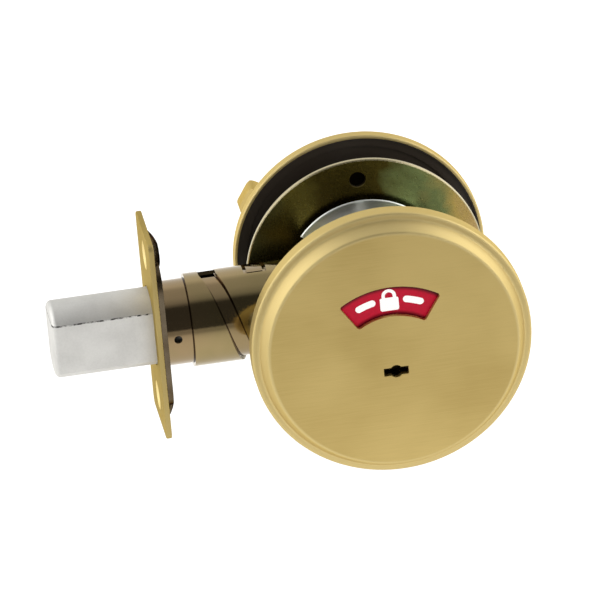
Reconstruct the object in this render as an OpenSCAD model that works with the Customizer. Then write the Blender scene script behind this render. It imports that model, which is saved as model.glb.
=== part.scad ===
// Tubular privacy bolt with an occupancy indicator on its outside rose.
// Millimetres, +Z up. The origin is on the bolt's axis, below the middle of the roses.
// The bolt is thrown towards -X, the outside of the door is towards -Y.

/* [Bolt] */
// Front of the faceplate to the axis of the roses
backset = 60.3; // [59.8:0.1:60.8]
// Travel of the bolt between locked and open
throw = 25.4; // [24.6:0.1:25.6]
// How far the bolt's end stands out of the faceplate when it is withdrawn
bolt_proud = 1.6; // [0.5:0.1:2]
// Diameter of the bolt's round top and bottom
bolt_d = 20.8; // [20.6:0.1:21.3]
// Width across the bolt's two flats
bolt_flats = 15.4; // [14:0.1:16.6]
// Rounding of the edges at the bolt's end
bolt_round = 1.4; // [0.4:0.1:1.6]

/* [Faceplate] */
// Height of the faceplate
face_h = 57.15; // [56:0.05:60]
// Width of the faceplate
face_w = 25.4; // [24.6:0.1:28.6]
// Thickness of the faceplate
face_t = 1.5; // [1.3:0.1:1.6]
// Corner radius of the faceplate
face_corner = 2.2; // [1:0.1:5]
// Distance between the two faceplate screws
face_screws = 41.3; // [40:0.1:43]
// Diameter of a faceplate screw hole
face_screw_d = 4.6; // [4:0.1:5]

/* [Bolt case] */
// Outside diameter of the front tube
tube_d = 22.8; // [22.7:0.1:22.9]
// Outside diameter of the rear housing
housing_d = 25; // [24.9:0.1:25.3]
// Front edge of the rear housing, measured back from the faceplate's front
housing_start = 10; // [9:0.1:11]
// Front of the helical slot, measured back from the faceplate's front
slot_start = 13.9; // [13.5:0.1:14.5]
// Width of the helical slot along the bolt's axis
slot_w = 4.6; // [4:0.1:5]
// Travel along the bolt's axis in one turn of the helical slot
slot_lead = 21.6; // [19:0.1:22]

/* [Spindle] */
// Spindle axis below the bolt's axis
spindle_drop = 6.6; // [6.4:0.1:6.8]
// Angle that the spindle turns between locked and open
spindle_swing = 90; // [90:1:92]
// Width of the flat tailpiece
tail_w = 5; // [4.6:0.1:5]
// Thickness of the flat tailpiece
tail_t = 2; // [1.6:0.1:2.2]

/* [Outside rose] */
// Diameter of the outside rose
rose_d = 75; // [74.6:0.1:76]
// Height of the outside rose's face above its rim
rose_h = 9; // [8.8:0.1:9.4]
// Back of the outside rose's rim, in front of the bolt's axis
rose_back = 26.4; // [25.8:0.1:27.4]
// Inner radius of the indicator window, about the spindle
window_r0 = 16.1; // [15.5:0.1:16.5]
// Outer radius of the indicator window, about the spindle
window_r1 = 24.6; // [24:0.1:24.8]
// Half of the angle that the window spans
window_half = 33.5; // [28:0.5:34]

/* [Inside trim] */
// Thickness of the door that the trim clamps
door_t = 41.8; // [41.4:0.1:42]
// Diameter of the mounting plate
plate_d = 64.4; // [62:0.1:64.4]
// Thickness of the mounting plate
plate_t = 1.5; // [1.2:0.1:1.5]
// Diameter of the inside rose
inner_rose_d = 67.6; // [67.6:0.1:69.6]
// Gap that the inside rose slides through to seat on the door
seat_travel = 11.8; // [11.2:0.1:11.8]
// Length of the lever from the spindle axis to its tip
lever_len = 32.5; // [26:0.5:36]
// Angle of the lever from upright when the bolt is thrown
lever_angle = 57.5; // [45:0.5:75]

/* [Hidden] */
$fn = 72;
eps = 0.05;

// Finishes
satin_brass = "#c3ab6b";
satin_steel = "#c9c9c6";
yellow_zinc = "#8f7f55";
bright_zinc = "#c4c8ca";
black_plastic = "#1b1a19";
signal_red = "#a5122a";

// Clearances
running = 0.05;
easy = 0.25;

// Bolt and faceplate
face_x = -backset;
bolt_r = bolt_d / 2;
bolt_tip = face_x - throw - bolt_proud;
bolt_tail = face_x + 14.3;
rivet_x = bolt_tail - 4;
rivet_z = 5;
rivet_r = 1.5;
back_x = face_x + face_t;
back_t = 1.5;
back_h = 41;
back_corner = 6;
boss_r = 6.8;
boss_h = 2.8;
boss_skin = 0.7;

// Tubes of the bolt case
tube_r = tube_d / 2;
tube_bore = bolt_r + 0.1;
tube_end = -28;
housing_r = housing_d / 2;
housing_bore = tube_r + 0.1;
housing_x = face_x + housing_start;
housing_end = -18.3;
web_t = 1.2;
frame_end = 19.7;
cheek_in = 4.4;
cheek_out = 5.6;
cheek_low = -11.2;
cheek_top = 8.8;

// Helical slot: square at its top end, then once round the near side to the far side.
// Angles are measured from the top towards the far side.
slot_x = face_x + slot_start;
slot_top = 38;
slot_foot = -200;
slot_steps = 80;
follower_angle = -188;
follower_l = 4;

// Crank: the pin stands as far above the spindle as half the throw, at both ends of the swing
crank_len = throw / 2 / sin(spindle_swing / 2);
crank_t = 3;
crank_tip_r = 2;
journal_r = 3.5;
pin_r = 1.3;
pin_play = 0.65;
fork_in = 1.9;
fork_out = 3.7;
fork_low = 1;
fork_top = 9.4;
ear_top = 11.7;
ear_back = 4.5;

// Outside trim, stacked forwards from the back of the rose
spindle_z = -spindle_drop;
rose_r = rose_d / 2;
rose_y = -rose_back;
rose_skin = 1.4;
face_y = rose_y - rose_h;
flag_t = 0.8;
flag_y = face_y + rose_skin + 0.3;
flag_r = window_r1 + 0.6;
flag_margin = 8;
flange_r = 34.2;
flange_y = rose_y - 1.7;
flange_back = rose_y - 0.3;
collar_r = 21.2;
collar_t = 2;
collar_end = 13.2;
mouth_r = 21.7;
mouth_l = 1.6;
slot_half = 13.4;
slot_front = -13.6;
post_z = 18.2;
post_r = 2.9;
screw_r = 2;
barrel_r = 4.5;
neck_r = 3.4;
barrel_front = flag_y - 0.15;
barrel_back = -20.6;
bearing_back = -22.2;
key_r = 1.75;
key_l = 6.6;
key_w = 2.2;
tail_front = -25.4;

// Inside trim, stacked backwards from the door
plate_y = rose_y + door_t;
plate_back = plate_y + plate_t;
plate_holes = 26.5;
inner_r = inner_rose_d / 2;
inner_y = plate_y + seat_travel + 0.2;
inner_h = 7.5;
inner_face = inner_y + inner_h;
cavity_r = inner_r - 0.9;
head_r = 3.8;
head_h = 2.6;
shaft_r = 6;
shaft_front = inner_y + 1.6;
shaft_back = inner_y + 23;
socket_back = inner_y + 21.6;
tail_back = inner_y + 9.4;
bush_r = shaft_r + 0.9;
groove_r = 5.3;
hub_front = inner_face + 2.6;
hub_r = 8.5;
lever_front = inner_y + 19;
lever_t = 6;
lever_w = 8.4;

// Points along an arc
function arc(c, r, a0, a1, n = 10) =
    [for (i = [0:n]) let (a = a0 + (a1 - a0) * i / n) c + r * [cos(a), sin(a)]];

// Corners of a wedge between two angles measured from upright, clockwise
function wedge(r, a0, a1, n = 12) =
    concat([[0, 0]], [for (i = [0:n]) let (a = a0 + (a1 - a0) * i / n) r * [sin(a), cos(a)]]);

// A flat outline drawn as seen from the outside, as a plate between two depths
module plate(y0, y1) {
    translate([0, y1, 0])
        rotate([90, 0, 0])
            linear_extrude(y1 - y0)
                children();
}

// An outline in Y and Z, carried along X
module bar(x0, x1) {
    translate([x0, 0, 0])
        rotate([90, 0, 90])
            linear_extrude(x1 - x0)
                children();
}

// A profile of radius and depth, turned about the roses' axis
module turned() {
    rotate([-90, 0, 0])
        rotate_extrude()
            children();
}

// A profile of radius and place, turned about the bolt's axis
module turned_x() {
    rotate([0, 90, 0])
        rotate_extrude()
            children();
}

// A round rod along Y
module rod(r, y0, y1) {
    translate([0, y0, 0])
        rotate([-90, 0, 0])
            cylinder(r = r, h = y1 - y0);
}

// Moves its children to the spindle's axis
module at_spindle() {
    translate([0, 0, spindle_z])
        children();
}

// A box between two corners
module box(a, b) {
    translate(a)
        cube(b - a);
}

// A rectangle with round corners, centred
module round_rect(w, h, r) {
    square([w - 2 * r, h], center = true);
    square([w, h - 2 * r], center = true);
    for (x = [-1, 1], y = [-1, 1])
        translate([x * (w / 2 - r), y * (h / 2 - r)])
            circle(r);
}

// A ring sector with round corners, about the middle of the outline
module window_outline(r0, r1, half, c) {
    module sector(a, b, h) {
        intersection() {
            difference() {
                circle(b);
                circle(a);
            }
            polygon(wedge(2 * b, -h, h));
        }
    }
    inner_turn = asin(c / (r0 + c));
    outer_turn = asin(c / (r1 - c));
    sector(r0, r1, half - inner_turn);
    sector(r0 + c, r1 - c, half);
    for (side = [-1, 1]) {
        rotate(-side * (half - inner_turn))
            translate([0, r0 + c])
                circle(c);
        rotate(-side * (half - outer_turn))
            translate([0, r1 - c])
                circle(c);
    }
}

// The emergency key's outline: a round shank with a bit on each side
module key_outline(play = 0) {
    circle(key_r + play);
    square([key_l + 2 * play, key_w + 2 * play], center = true);
}

// A moulded rim, seen as radius over height: skirt, shelf, cove, leaning wall and bead up to a flat face
module rim_outline(r, skirt, top) {
    roll = 0.8;
    cove = 0.9;
    bead = 1;
    lean = 25;
    flat = r - 4.5;
    cove_h = skirt + roll + cove;
    rise = top - bead + bead * sin(lean) - cove_h + cove * sin(lean);
    cove_r = flat + (bead + cove) * cos(lean) + rise * tan(lean);
    polygon(concat([[0, 0], [r - 0.3, 0], [r, 0.3]],
                   arc([r - roll, skirt], roll, 0, 90, 6),
                   arc([cove_r, cove_h], cove, 270, 180 + lean, 6),
                   arc([flat, top - bead], bead, lean, 90, 6),
                   [[0, top]]));
}

// Front edge of the helical slot at an angle
function slot_edge(a) = slot_x + slot_lead / 360 * max(0, -a);

// Cutter for the helical slot
module helical_slot() {
    r0 = tube_r - 2;
    r1 = housing_r + 2;
    last = slot_steps - 1;
    corners = [for (i = [0:last])
                   let (a = slot_foot + (slot_top - slot_foot) * i / last, u = [0, sin(a), cos(a)],
                        lo = [slot_edge(a), 0, 0], hi = lo + [slot_w, 0, 0])
                   each [lo + r0 * u, lo + r1 * u, hi + r1 * u, hi + r0 * u]];
    sides = [for (i = [0:last - 1], k = [0:3])
                 let (a = 4 * i + k, b = 4 * i + (k + 1) % 4, c = b + 4, d = a + 4)
                 each [[c, b, a], [d, c, a]]];
    ends = [[0, 1, 2, 3], [4 * last + 3, 4 * last + 2, 4 * last + 1, 4 * last]];
    polyhedron(corners, concat(sides, ends));
}

// A tube of the bolt case
module case_tube(outer, inner, x0, x1) {
    difference() {
        bar(x0, x1) circle(outer);
        bar(x0 - 1, x1 + 1) circle(inner);
    }
}

// Outside rose: a turned brass cap with the indicator window and the keyhole
module indicator_rose() {
    cavity_r0 = 31.6;
    color(satin_brass)
    difference() {
        translate([0, rose_y, 0])
            mirror([0, 1, 0])
                turned()
                    difference() {
                        rim_outline(rose_r, 4.1, rose_h);
                        translate([-1, -1]) square([flange_r + 0.1 + 1, 1 + rose_y - flange_y]);
                        translate([-1, 0]) square([cavity_r0 + 1, rose_h - rose_skin]);
                    }
        at_spindle()
            plate(face_y - 1, face_y + rose_skin + eps) {
                window_outline(window_r0, window_r1, window_half, 0.8);
                key_outline();
            }
    }
}

// Outside housing: cast flange and flared collar that enters the door, slotted for the bolt case
module outside_housing() {
    edge = 0.3;
    color(bright_zinc)
    difference() {
        union() {
            turned()
                difference() {
                    union() {
                        translate([0, flange_y]) square([flange_r, flange_back - flange_y]);
                        polygon([[0, flange_y], [collar_r, flange_y], [collar_r, collar_end - mouth_l],
                                 [mouth_r - edge, collar_end - 2 * edge], [mouth_r, collar_end - edge],
                                 [mouth_r - edge, collar_end], [0, collar_end]]);
                    }
                    translate([-1, flange_back]) square([collar_r - collar_t + 1, 60]);
                }
            at_spindle() rod(barrel_r + 3, flange_y, bearing_back);
            for (side = [-1, 1])
                translate([0, 0, side * post_z])
                    rod(post_r, flange_back - eps, collar_end);
        }
        box([-mouth_r - 1, slot_front, -slot_half], [mouth_r + 1, collar_end + 1, slot_half]);
        at_spindle() rod(barrel_r + running, flange_y - 1, bearing_back + 1);
        for (side = [-1, 1])
            translate([0, 0, side * post_z])
                rod(screw_r + running, slot_front, collar_end + 1);
    }
}

// Indicator disc: a two-colour sector that shows one half in the window at a time
module indicator_disc() {
    color(signal_red)
    at_spindle()
        plate(flag_y, flag_y + flag_t)
            difference() {
                union() {
                    intersection() {
                        circle(flag_r);
                        polygon(wedge(2 * flag_r, -spindle_swing - window_half - flag_margin,
                                      window_half + flag_margin));
                    }
                    circle(7);
                }
                circle(neck_r + running);
            }
}

// Emergency barrel: carries the disc, takes the key in front and the tailpiece behind
module emergency_barrel() {
    collar_front = flag_y + flag_t;
    color(satin_brass)
    at_spindle()
        difference() {
            union() {
                rod(neck_r, barrel_front, collar_front + 1);
                rod(6, collar_front, flange_y - 0.2);
                rod(barrel_r, flange_y - 0.3, barrel_back);
            }
            plate(barrel_front - 1, barrel_front + 2.4) square([2 * neck_r + 1, key_w], center = true);
            rod(key_r, barrel_front - 1, barrel_front + 4);
            plate(tail_front, barrel_back + 1) square([tail_t + 0.1, tail_w + 0.1], center = true);
            difference() {
                rod(barrel_r + 1, bearing_back + 0.2, bearing_back + 1.1);
                rod(barrel_r - 0.6, bearing_back, bearing_back + 2);
            }
        }
}

// Spring clip that keeps the barrel in the housing
module barrel_clip() {
    color(bright_zinc)
    at_spindle()
        plate(bearing_back + 0.25, bearing_back + 1.05)
            difference() {
                circle(6.2);
                circle(barrel_r - 0.55);
                translate([-1.6, 0]) square([3.2, 8]);
            }
}

// Tailpiece: flat bar that joins the barrel, the crank and the thumbturn
module tailpiece() {
    nose = 1.2;
    color(yellow_zinc)
    at_spindle()
        intersection() {
            plate(tail_front + 0.1, tail_back) square([tail_t, tail_w], center = true);
            rotate([0, -90, 0])
                linear_extrude(tail_w, center = true)
                    polygon([[-tail_w / 2, tail_front], [tail_w / 2, tail_front],
                             [tail_w / 2, tail_back - nose], [tail_w / 2 - nose, tail_back],
                             [nose - tail_w / 2, tail_back], [-tail_w / 2, tail_back - nose]]);
        }
}

// Cross-section of the bolt in Y and Z: round above and below, flat on both sides
module bolt_outline(play = 0) {
    intersection() {
        circle(bolt_r + play);
        square([bolt_flats + 2 * play, bolt_d + 1], center = true);
    }
}

// The bolt's length over half its width, with round corners at the end
module bolt_side(half) {
    c = bolt_round;
    translate([bolt_tip + c, -half]) square([bolt_tail - bolt_tip - c, 2 * half]);
    translate([bolt_tip, c - half]) square([2 * c, 2 * (half - c)]);
    for (side = [-1, 1])
        translate([bolt_tip + c, side * (half - c)])
            circle(c);
}

// Bolt: round bar with two flats, rounded at its end and slotted for the draw bar
module bolt() {
    color(satin_steel)
    difference() {
        intersection() {
            bar(bolt_tip, bolt_tail) bolt_outline();
            turned_x()
                intersection() {
                    mirror([1, -1]) bolt_side(bolt_r);
                    translate([0, 2 * bolt_tip]) square([bolt_d, -3 * bolt_tip]);
                }
            linear_extrude(bolt_d + 1, center = true)
                bolt_side(bolt_flats / 2);
        }
        box([bolt_tail - 8, -fork_out - 0.1, fork_low - 0.1], [bolt_tail + 1, fork_out + 0.1, bolt_r]);
        translate([rivet_x, 0, rivet_z]) rod(rivet_r, -bolt_r, bolt_r);
    }
}

// Draw bar: a tongue in the bolt and a fork whose ears straddle the crank
module draw_bar() {
    pin_x = -throw / 2;
    ear_front = housing_end + 0.8;
    notch = 2 * (pin_r + pin_play);
    color(yellow_zinc)
    difference() {
        union() {
            box([bolt_tail - 7.8, -fork_out, fork_low], [pin_x + ear_back, fork_out, fork_top]);
            box([ear_front, -fork_out, fork_low], [pin_x + ear_back, fork_out, ear_top]);
        }
        box([bolt_tail + 2, -fork_in, fork_low - 1], [0, fork_in, ear_top + 1]);
        box([pin_x - notch / 2, -fork_out - 1, fork_low + 2.6],
            [pin_x + notch / 2, fork_out + 1, ear_top + 1]);
        translate([rivet_x, 0, rivet_z]) rod(rivet_r, -bolt_r, bolt_r);
    }
}

// Rivet that ties the draw bar to the bolt
module draw_bar_rivet() {
    color(satin_steel)
        translate([rivet_x, 0, rivet_z])
            rod(rivet_r, 0.1 - bolt_flats / 2, bolt_flats / 2 - 0.1);
}

// Faceplate: let into the door's edge, with countersunk screw holes
module faceplate() {
    hole_r = face_screw_d / 2;
    sink = 0.9;
    sink_r = hole_r + 1.9;
    color(satin_brass)
    difference() {
        bar(face_x, back_x)
            difference() {
                round_rect(face_w, face_h, face_corner);
                bolt_outline(easy);
            }
        for (side = [-1, 1])
            translate([face_x, 0, side * face_screws / 2])
                rotate([0, 90, 0]) {
                    cylinder(r = hole_r, h = 2 * face_t);
                    translate([0, 0, -eps]) cylinder(r1 = sink_r + eps, r2 = hole_r, h = sink + eps);
                }
    }
}

// Backplate: pressed steel behind the faceplate, domed over each screw and lanced open at one side
module backplate() {
    inset = 0.5;
    dome_r = (boss_r * boss_r + boss_h * boss_h) / (2 * boss_h);
    mouth_y = 0.6 * boss_r;
    // A cap of a sphere whose middle lies in front of the faceplate
    module cap(r, front) {
        turned_x()
            intersection() {
                translate([0, back_x + boss_h - dome_r]) circle(r);
                translate([0, front]) square([2 * boss_r, 2 * boss_r]);
            }
    }
    color(bright_zinc)
    difference() {
        union() {
            difference() {
                bar(back_x, back_x + back_t) round_rect(face_w - 2 * inset, back_h, back_corner);
                bar(back_x - 1, back_x + back_t + 1) circle(tube_r + 0.02);
            }
            // The dome is open on the near side below, and on the far side above
            for (side = [-1, 1])
                translate([0, 0, side * face_screws / 2])
                    difference() {
                        cap(dome_r, back_x);
                        box([back_x - 1, side < 0 ? -2 * boss_r : mouth_y, -boss_r],
                            [back_x + boss_h + 1, side < 0 ? -mouth_y : 2 * boss_r, boss_r]);
                    }
        }
        for (side = [-1, 1])
            translate([0, 0, side * face_screws / 2]) {
                cap(dome_r - boss_skin, back_x - 1);
                bar(back_x - 1, back_x + boss_h + 1) circle(face_screw_d / 2 + 0.5);
            }
    }
}

// Front tube: guides the bolt. A detent tab holds the backset, and a follower rides in the helical slot.
module front_tube() {
    tab_front = -33.6;
    tab_back = -29.4;
    follower_x = slot_edge(follower_angle) + slot_w / 2;
    color(yellow_zinc)
    difference() {
        union() {
            case_tube(tube_r, tube_bore, back_x, tube_end);
            intersection() {
                case_tube(housing_r - 0.3, tube_bore, tab_front, tab_back);
                box([tab_front, -1.5, 0], [tab_back, 4.2, housing_r]);
            }
            rotate([-follower_angle, 0, 0])
                intersection() {
                    case_tube(housing_r - 0.3, tube_bore,
                              follower_x - follower_l / 2, follower_x + follower_l / 2);
                    translate([follower_x, 0, 0]) cylinder(r = follower_l / 2, h = housing_r);
                }
        }
        translate([face_x + 5.8, 0, 0]) rod(1.1, -housing_r, 0);
        box([slot_x + 0.2, 0.3, 0], [slot_x + slot_w - 0.2, 6.8, housing_r]);
    }
}

// Rear housing: tube with the helical slot in front, crank frame with two bearing cheeks behind
module rear_housing() {
    detent_x0 = -34.6;
    detent_x1 = -28.4;
    color(yellow_zinc)
    difference() {
        union() {
            difference() {
                case_tube(housing_r, housing_bore, housing_x, housing_end);
                helical_slot();
                box([detent_x0, -2.4, 0], [detent_x1, 5.1, housing_r + 1]);
            }
            bar(housing_end - web_t, housing_end) circle(housing_r - 0.4);
            intersection() {
                bar(housing_end - eps, frame_end) circle(housing_r);
                difference() {
                    box([housing_end - eps, -cheek_out, cheek_low], [frame_end, cheek_out, cheek_top]);
                    box([housing_end - 1, -cheek_in, cheek_low + 1],
                        [frame_end - web_t, cheek_in, cheek_top + 1]);
                    box([-9, -cheek_in, cheek_low - 1], [9, cheek_in, cheek_low + 2]);
                }
            }
        }
        box([housing_end - 2 * web_t, -fork_out - easy, fork_low - easy],
            [housing_end + 1, fork_out + easy, fork_top + easy]);
        at_spindle() rod(journal_r + running, -cheek_out - 1, cheek_out + 1);
    }
}

// Crank: turns in the cheeks and drives the fork with its pin
module crank() {
    lean = -spindle_swing / 2;
    half = crank_t / 2;
    color(yellow_zinc)
    at_spindle()
        difference() {
            union() {
                rod(journal_r, -cheek_out - 0.9, cheek_out + 0.9);
                rod(journal_r + 0.8, 0.2 - cheek_in, cheek_in - 0.2);
                rotate([0, lean, 0])
                    plate(-half, half) {
                        polygon([[-journal_r - 0.5, 0], [-crank_tip_r, crank_len],
                                 [crank_tip_r, crank_len], [journal_r + 0.5, 0]]);
                        translate([0, crank_len]) circle(crank_tip_r);
                    }
            }
            plate(-cheek_out - 2, cheek_out + 2)
                square([tail_t + 0.2, tail_w + 0.2], center = true);
            rotate([0, lean, 0])
                translate([0, 0, crank_len])
                    rod(pin_r, -half - 1, half + 1);
        }
}

// Crank pin: riveted in the crank, slides in the fork's notches
module crank_pin() {
    reach = cheek_in - 0.4;
    color(satin_steel)
    at_spindle()
        rotate([0, -spindle_swing / 2, 0])
            translate([0, 0, crank_len])
                rod(pin_r, -reach, reach);
}

// Mounting plate: clamps the door from the inside
module mounting_plate() {
    edge = 0.3;
    color(yellow_zinc)
    difference() {
        turned()
            polygon([[0, plate_y], [plate_d / 2 - edge, plate_y], [plate_d / 2, plate_y + edge],
                     [plate_d / 2, plate_back - edge], [plate_d / 2 - edge, plate_back], [0, plate_back]]);
        at_spindle() rod(5.5, plate_y - 1, plate_back + 1);
        for (side = [-1, 1]) {
            translate([0, 0, side * post_z]) rod(screw_r + 0.3, plate_y - 1, plate_back + 1);
            translate([0, 0, side * plate_holes]) rod(2.2, plate_y - 1, plate_back + 1);
        }
    }
}

// Mounting screws: pull the two sides of the trim together through the door
module mounting_screws() {
    color(bright_zinc)
    for (side = [-1, 1])
        translate([0, 0, side * post_z])
            difference() {
                union() {
                    rod(screw_r, slot_front + 3, plate_back + eps);
                    translate([0, plate_back, 0])
                        turned()
                            polygon(concat([[0, 0], [head_r, 0], [head_r, head_h - 1]],
                                           arc([head_r - 1, head_h - 1], 1, 0, 90, 5), [[0, head_h]]));
                }
                for (turn = [0, 90])
                    rotate([0, turn, 0])
                        box([-2.2, plate_back + 1.2, -0.45], [2.2, plate_back + head_h + 1, 0.45]);
            }
}

// Inside rose: a hollow turned cap that slides over the mounting plate
module inside_rose() {
    skirt = 2.6;
    color(satin_brass)
    difference() {
        union() {
            translate([0, inner_y, 0])
                turned()
                    difference() {
                        rim_outline(inner_r, skirt, inner_h);
                        translate([-1, -1]) square([cavity_r + 1, skirt + 1]);
                        translate([-1, -1]) square([cavity_r - 2.4 + 1, inner_h - 2.9 + 1]);
                    }
            at_spindle()
                translate([0, inner_face - eps, 0])
                    turned()
                        polygon([[0, 0], [10, 0], [10, 1], [9.3, 1.7 + eps], [0, 1.7 + eps]]);
        }
        at_spindle() rod(bush_r, inner_y, inner_face + 4);
    }
}

// Rose liner: black moulding inside the rose, relieved for the screw heads
module rose_liner() {
    lip = 0.35;
    step_y = inner_y + 1.9;
    floor_y = inner_y + 3.7;
    top_y = inner_y + 4.5;
    skirt_y = inner_y + 2.5;
    r = cavity_r - 0.05;
    inner = cavity_r - 2.45;
    color(black_plastic)
    difference() {
        turned()
            polygon([[r, inner_y + 0.3], [r, skirt_y], [inner, skirt_y], [inner, top_y], [0, top_y],
                     [0, floor_y], [inner - 0.6, floor_y], [inner - 0.6, step_y], [r - lip, step_y],
                     [r - lip, inner_y + 0.3]]);
        at_spindle() rod(bush_r + 0.8, inner_y, inner_face);
        for (side = [-1, 1])
            translate([0, 0, side * post_z])
                rod(head_r + 0.8, inner_y, inner_face);
    }
}

// Turn bush: plain bearing for the thumbturn's spindle, flanged inside the rose
module turn_bush() {
    flange_front = inner_y + 2.9;
    color(black_plastic)
    at_spindle()
        turned()
            polygon([[shaft_r + running, flange_front], [bush_r + 0.4, flange_front],
                     [bush_r + 0.4, inner_y + 4.5], [bush_r - 0.02, inner_y + 4.5],
                     [bush_r - 0.02, inner_face + 1.6], [shaft_r + running, inner_face + 1.6]]);
}

// Thumbturn: turned hub with a bevelled lever
module thumbturn() {
    bevel = 0.8;
    lever_back = lever_front + lever_t;
    tip_r = 2;
    half = lever_w / 2;
    color(satin_brass)
    at_spindle()
        rotate([0, -lever_angle, 0])
            difference() {
                union() {
                    turned()
                        polygon(concat([[0, hub_front], [hub_r - 0.6, hub_front], [hub_r, hub_front + 0.6],
                                        [hub_r, hub_front + 2]],
                                       arc([hub_r + 4.6, lever_front - 3.4], 6, 210, 150, 8),
                                       arc([hub_r - 1.4, lever_back - 1.4], 1.4, 0, 90, 6),
                                       [[0, lever_back]]));
                    intersection() {
                        plate(lever_front, lever_back)
                            polygon(concat([[-half, 0]],
                                           arc([tip_r - half, lever_len - tip_r], tip_r, 180, 90, 6),
                                           arc([half - tip_r, lever_len - tip_r], tip_r, 90, 0, 6),
                                           [[half, 0]]));
                        linear_extrude(lever_len + 1)
                            polygon([[-half, lever_front + bevel], [bevel - half, lever_front],
                                     [half - bevel, lever_front], [half, lever_front + bevel],
                                     [half, lever_back - bevel], [half - bevel, lever_back],
                                     [bevel - half, lever_back], [-half, lever_back - bevel]]);
                        rotate([90, 0, 90])
                            linear_extrude(lever_w + 1, center = true)
                                polygon([[lever_front, 0], [lever_front, lever_len - bevel],
                                         [lever_front + bevel, lever_len], [lever_back - bevel, lever_len],
                                         [lever_back, lever_len - bevel], [lever_back, 0]]);
                    }
                }
                rod(shaft_r + 0.02, hub_front - 1, shaft_back + 0.1);
                translate([0, (hub_front + lever_front) / 2 - 1, -hub_r - 1]) cylinder(r = 1.5, h = hub_r);
            }
}

// Turn spindle: shaft of the thumbturn, hollow so that it slides along the tailpiece
module turn_spindle() {
    color(satin_steel)
    at_spindle()
        difference() {
            rod(shaft_r, shaft_front, shaft_back);
            plate(shaft_front - 1, socket_back)
                square([tail_t + 0.3, tail_w + 0.3], center = true);
            difference() {
                rod(shaft_r + 1, shaft_front + 0.4, shaft_front + 1.2);
                rod(groove_r, shaft_front, shaft_front + 2);
            }
        }
}

// Circlip that keeps the turn spindle in the rose
module turn_circlip() {
    color(bright_zinc)
    at_spindle()
        plate(shaft_front + 0.45, shaft_front + 1.15)
            difference() {
                circle(6.9);
                circle(groove_r + running);
                translate([-2, 0]) square([4, 8]);
            }
}

// Friction washer: holds the lever where it is put
module friction_washer() {
    color(satin_steel)
    at_spindle()
        plate(inner_face + 1.9, hub_front - 0.15)
            difference() {
                circle(8);
                circle(shaft_r + running);
            }
}

// Grub screw that fixes the lever to its spindle
module lever_screw() {
    color(satin_steel)
    at_spindle()
        rotate([0, -lever_angle, 0])
            translate([0, (hub_front + lever_front) / 2 - 1, -hub_r + 0.3])
                difference() {
                    cylinder(r = 1.48, h = hub_r - shaft_r - 0.35);
                    translate([0, 0, -eps]) cylinder(r = 0.75, h = 1.2, $fn = 6);
                }
}

indicator_rose();
outside_housing();
indicator_disc();
emergency_barrel();
barrel_clip();
tailpiece();
bolt();
draw_bar();
draw_bar_rivet();
faceplate();
backplate();
front_tube();
rear_housing();
crank();
crank_pin();
mounting_plate();
mounting_screws();
inside_rose();
rose_liner();
turn_bush();
thumbturn();
turn_spindle();
turn_circlip();
friction_washer();
lever_screw();
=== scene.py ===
"""Looks of a tubular privacy bolt: brass trim, plated bolt case, printed flag, studio and camera."""

from __future__ import annotations

import logging
import math
from dataclasses import dataclass, field
from enum import Enum
from typing import Any

import bmesh
import bpy
from mathutils import Matrix, Vector

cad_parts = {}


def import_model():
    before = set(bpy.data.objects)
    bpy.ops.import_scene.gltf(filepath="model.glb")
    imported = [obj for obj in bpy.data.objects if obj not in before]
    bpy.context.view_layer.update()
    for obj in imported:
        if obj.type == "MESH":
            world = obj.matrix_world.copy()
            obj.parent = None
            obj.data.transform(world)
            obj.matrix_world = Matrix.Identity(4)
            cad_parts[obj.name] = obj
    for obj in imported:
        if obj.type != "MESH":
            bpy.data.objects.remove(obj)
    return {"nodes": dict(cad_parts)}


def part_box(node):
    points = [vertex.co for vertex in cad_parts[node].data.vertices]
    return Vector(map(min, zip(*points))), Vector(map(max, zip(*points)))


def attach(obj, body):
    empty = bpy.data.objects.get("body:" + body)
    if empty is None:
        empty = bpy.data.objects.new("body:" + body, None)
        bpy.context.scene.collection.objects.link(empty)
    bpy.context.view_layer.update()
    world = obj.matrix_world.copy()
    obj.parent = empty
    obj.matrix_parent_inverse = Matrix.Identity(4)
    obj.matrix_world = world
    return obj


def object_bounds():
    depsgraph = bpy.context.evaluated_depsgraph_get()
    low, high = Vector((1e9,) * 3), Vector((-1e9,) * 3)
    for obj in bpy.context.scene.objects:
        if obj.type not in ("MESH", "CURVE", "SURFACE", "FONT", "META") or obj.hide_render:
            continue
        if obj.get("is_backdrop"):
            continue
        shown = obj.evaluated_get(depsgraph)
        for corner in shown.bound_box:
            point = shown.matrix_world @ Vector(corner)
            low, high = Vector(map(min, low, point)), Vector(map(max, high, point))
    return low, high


LOG = logging.getLogger("indicator_bolt")
MM = 0.001

Colour = tuple[float, float, float, float]
Point = tuple[float, float, float]
Pair = tuple[float, float]
Tree = bpy.types.NodeTree
Node = bpy.types.Node
Socket = bpy.types.NodeSocket
BMesh = bmesh.types.BMesh

# Sizes of the solids, in mm, that the patterns and marks follow.
BACKSET = 60.3
FACE_SCREWS = 41.3
HOUSING_START = 10.0
SLOT_START = 13.9
SLOT_WIDTH = 4.6
SLOT_LEAD = 21.6
SPINDLE_Z = -6.6

# A noise pattern's values lie about its middle, most of them in this range.
NOISE_MIDDLE = 0.5
NOISE_RANGE = {"From Min": 0.3, "From Max": 0.7}

# Distance in mm within which two corners of a mesh are one.
JOIN = 0.001

# Largest angle between two faces, in degrees, that is shaded smooth.
SMOOTH_ANGLE = 24.0


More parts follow.
